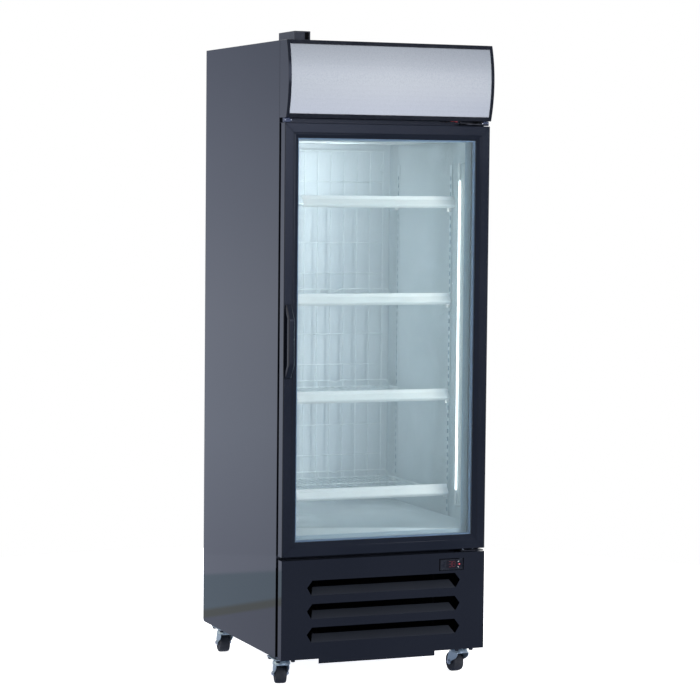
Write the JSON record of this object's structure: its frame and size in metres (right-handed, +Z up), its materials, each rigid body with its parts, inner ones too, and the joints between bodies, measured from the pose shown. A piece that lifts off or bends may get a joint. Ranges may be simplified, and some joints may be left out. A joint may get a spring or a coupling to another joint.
{
  "type": "glass door merchandiser",
  "caption": "Upright one-section glass door refrigerator on casters, with a lit curved sign canopy, wire shelves and a louvred base grille.",
  "frame": {"origin": "centre of the overall footprint on the floor, between the casters", "axes": "+X to the right of a person facing the door, +Y from the door towards the back, +Z up"},
  "size_m": [0.688, 0.7764, 2.03],
  "materials": {
    "black_steel": "semi-gloss black-grey powder coat on sheet steel",
    "black_frame": "satin black coated aluminium extrusion",
    "black_plastic": "satin black moulded plastic",
    "white_liner": "glossy white inner liner",
    "white_wire": "white epoxy coated steel wire",
    "white_plastic": "glossy white plastic",
    "sign_face": "blank translucent pale sign sheet",
    "glass": "clear tempered glass",
    "spacer": "dark blue-grey edge seal of the double glazing",
    "gasket_rubber": "soft magnetic door gasket",
    "wheel_tread": "dark grey rubber caster tread",
    "zinc": "bright zinc-plated pressed steel",
    "galvanised": "galvanised sheet steel",
    "aluminium": "plain aluminium",
    "compressor_black": "black enamelled steel shell",
    "foam": "rigid foam insulation, fully enclosed",
    "red_plastic": "red plastic"
  },
  "bodies": {
    "cabinet": {"side_panel_left": "black_steel", "side_panel_right": "black_steel", "back_panel": "galvanised", "roof_panel": "black_steel", "insulation": "foam", "inner_liner": "white_liner", "base_pan": "galvanised", "rear_grille": "galvanised", "base_grille_panel": "black_steel", "roof_wiring_box": "black_plastic", "canopy_housing": "black_plastic", "canopy_end_left": "black_plastic", "canopy_end_right": "black_plastic", "sign_face": "sign_face", "sign_lamp": "aluminium", "hinge_bracket_top": "black_steel", "hinge_bracket_bottom": "black_steel", "temperature_controller": "black_plastic", "compressor": "compressor_black", "condenser_coil": "aluminium", "condenser_fan_motor": "black_steel", "evaporator_cover": "white_plastic", "evaporator_coil": "aluminium", "evaporator_fan_motor": "black_plastic", "wire_shelf_1": "white_wire", "wire_shelf_2": "white_wire", "wire_shelf_3": "white_wire", "wire_shelf_4": "white_wire", "price_strip_1": "white_plastic", "price_strip_2": "white_plastic", "price_strip_3": "white_plastic", "price_strip_4": "white_plastic", "rear_wire_guard": "white_wire", "light_bar_left": "white_plastic", "light_bar_right": "white_plastic", "caster_plate_front_left": "zinc", "caster_plate_front_right": "zinc", "caster_plate_rear_left": "zinc", "caster_plate_rear_right": "zinc"},
    "door": {"door_stile_left": "black_frame", "door_stile_right": "black_frame", "door_rail_top": "black_frame", "door_rail_bottom": "black_frame", "glass_outer": "glass", "glass_inner": "glass", "glass_spacer": "spacer", "door_gasket": "gasket_rubber", "door_handle": "black_plastic"},
    "condenser_fan": {"condenser_fan_blade": "aluminium"},
    "evaporator_fan": {"evaporator_fan_blade": "black_plastic"},
    "sign_switch": {"light_switch": "red_plastic"},
    "controller_key": {"controller_button": "red_plastic"},
    "swivel_front_left": {"caster_fork_front_left": "zinc"},
    "wheel_front_left": {"caster_wheel_front_left": "wheel_tread"},
    "swivel_front_right": {"caster_fork_front_right": "zinc"},
    "wheel_front_right": {"caster_wheel_front_right": "wheel_tread"},
    "swivel_rear_left": {"caster_fork_rear_left": "zinc"},
    "wheel_rear_left": {"caster_wheel_rear_left": "wheel_tread"},
    "swivel_rear_right": {"caster_fork_rear_right": "zinc"},
    "wheel_rear_right": {"caster_wheel_rear_right": "wheel_tread"}
  },
  "joints": [
    {"name": "door_hinge", "type": "hinge", "parent": "cabinet", "child": "door", "pos_m": [0.326, -0.33875, 1.08], "axis": [0, 0, 1], "range_deg": [0, 120], "stiffness_Nm_per_rad": 2},
    {"name": "condenser_fan_spin", "type": "hinge", "parent": "cabinet", "child": "condenser_fan", "pos_m": [0, -0.20625, 0.236], "axis": [0, 1, 0], "continuous": true},
    {"name": "evaporator_fan_spin", "type": "hinge", "parent": "cabinet", "child": "evaporator_fan", "pos_m": [0, 0.02525, 1.716], "axis": [0, 0, 1], "continuous": true},
    {"name": "sign_switch_rock", "type": "hinge", "parent": "cabinet", "child": "sign_switch", "pos_m": [0.225, -0.34275, 1.7645], "axis": [0, 1, 0], "range_deg": [-10, 0]},
    {"name": "controller_key_press", "type": "slide", "parent": "cabinet", "child": "controller_key", "axis": [0, 1, 0], "range_m": [0, 0.001], "stiffness_N_per_m": 150},
    {"name": "caster_swivel_front_left", "type": "hinge", "parent": "cabinet", "child": "swivel_front_left", "pos_m": [-0.305, -0.25775, 0.08], "axis": [0, 0, 1], "continuous": true},
    {"name": "caster_roll_front_left", "type": "hinge", "parent": "swivel_front_left", "child": "wheel_front_left", "pos_m": [-0.29918, -0.23036, 0.032], "axis": [0.9781, -0.2079, 0], "continuous": true},
    {"name": "caster_swivel_front_right", "type": "hinge", "parent": "cabinet", "child": "swivel_front_right", "pos_m": [0.305, -0.25775, 0.08], "axis": [0, 0, 1], "continuous": true},
    {"name": "caster_roll_front_right", "type": "hinge", "parent": "swivel_front_right", "child": "wheel_front_right", "pos_m": [0.30256, -0.22986, 0.032], "axis": [0.9962, 0.0872, 0], "continuous": true},
    {"name": "caster_swivel_rear_left", "type": "hinge", "parent": "cabinet", "child": "swivel_rear_left", "pos_m": [-0.298, 0.29525, 0.08], "axis": [0, 0, 1], "continuous": true},
    {"name": "caster_roll_rear_left", "type": "hinge", "parent": "swivel_rear_left", "child": "wheel_rear_left", "pos_m": [-0.29507, 0.3231, 0.032], "axis": [0.9945, -0.1045, 0], "continuous": true},
    {"name": "caster_swivel_rear_right", "type": "hinge", "parent": "cabinet", "child": "swivel_rear_right", "pos_m": [0.298, 0.29525, 0.08], "axis": [0, 0, 1], "continuous": true},
    {"name": "caster_roll_rear_right", "type": "hinge", "parent": "swivel_rear_right", "child": "wheel_rear_right", "pos_m": [0.30382, 0.32264, 0.032], "axis": [0.9781, -0.2079, 0], "continuous": true}
  ]
}
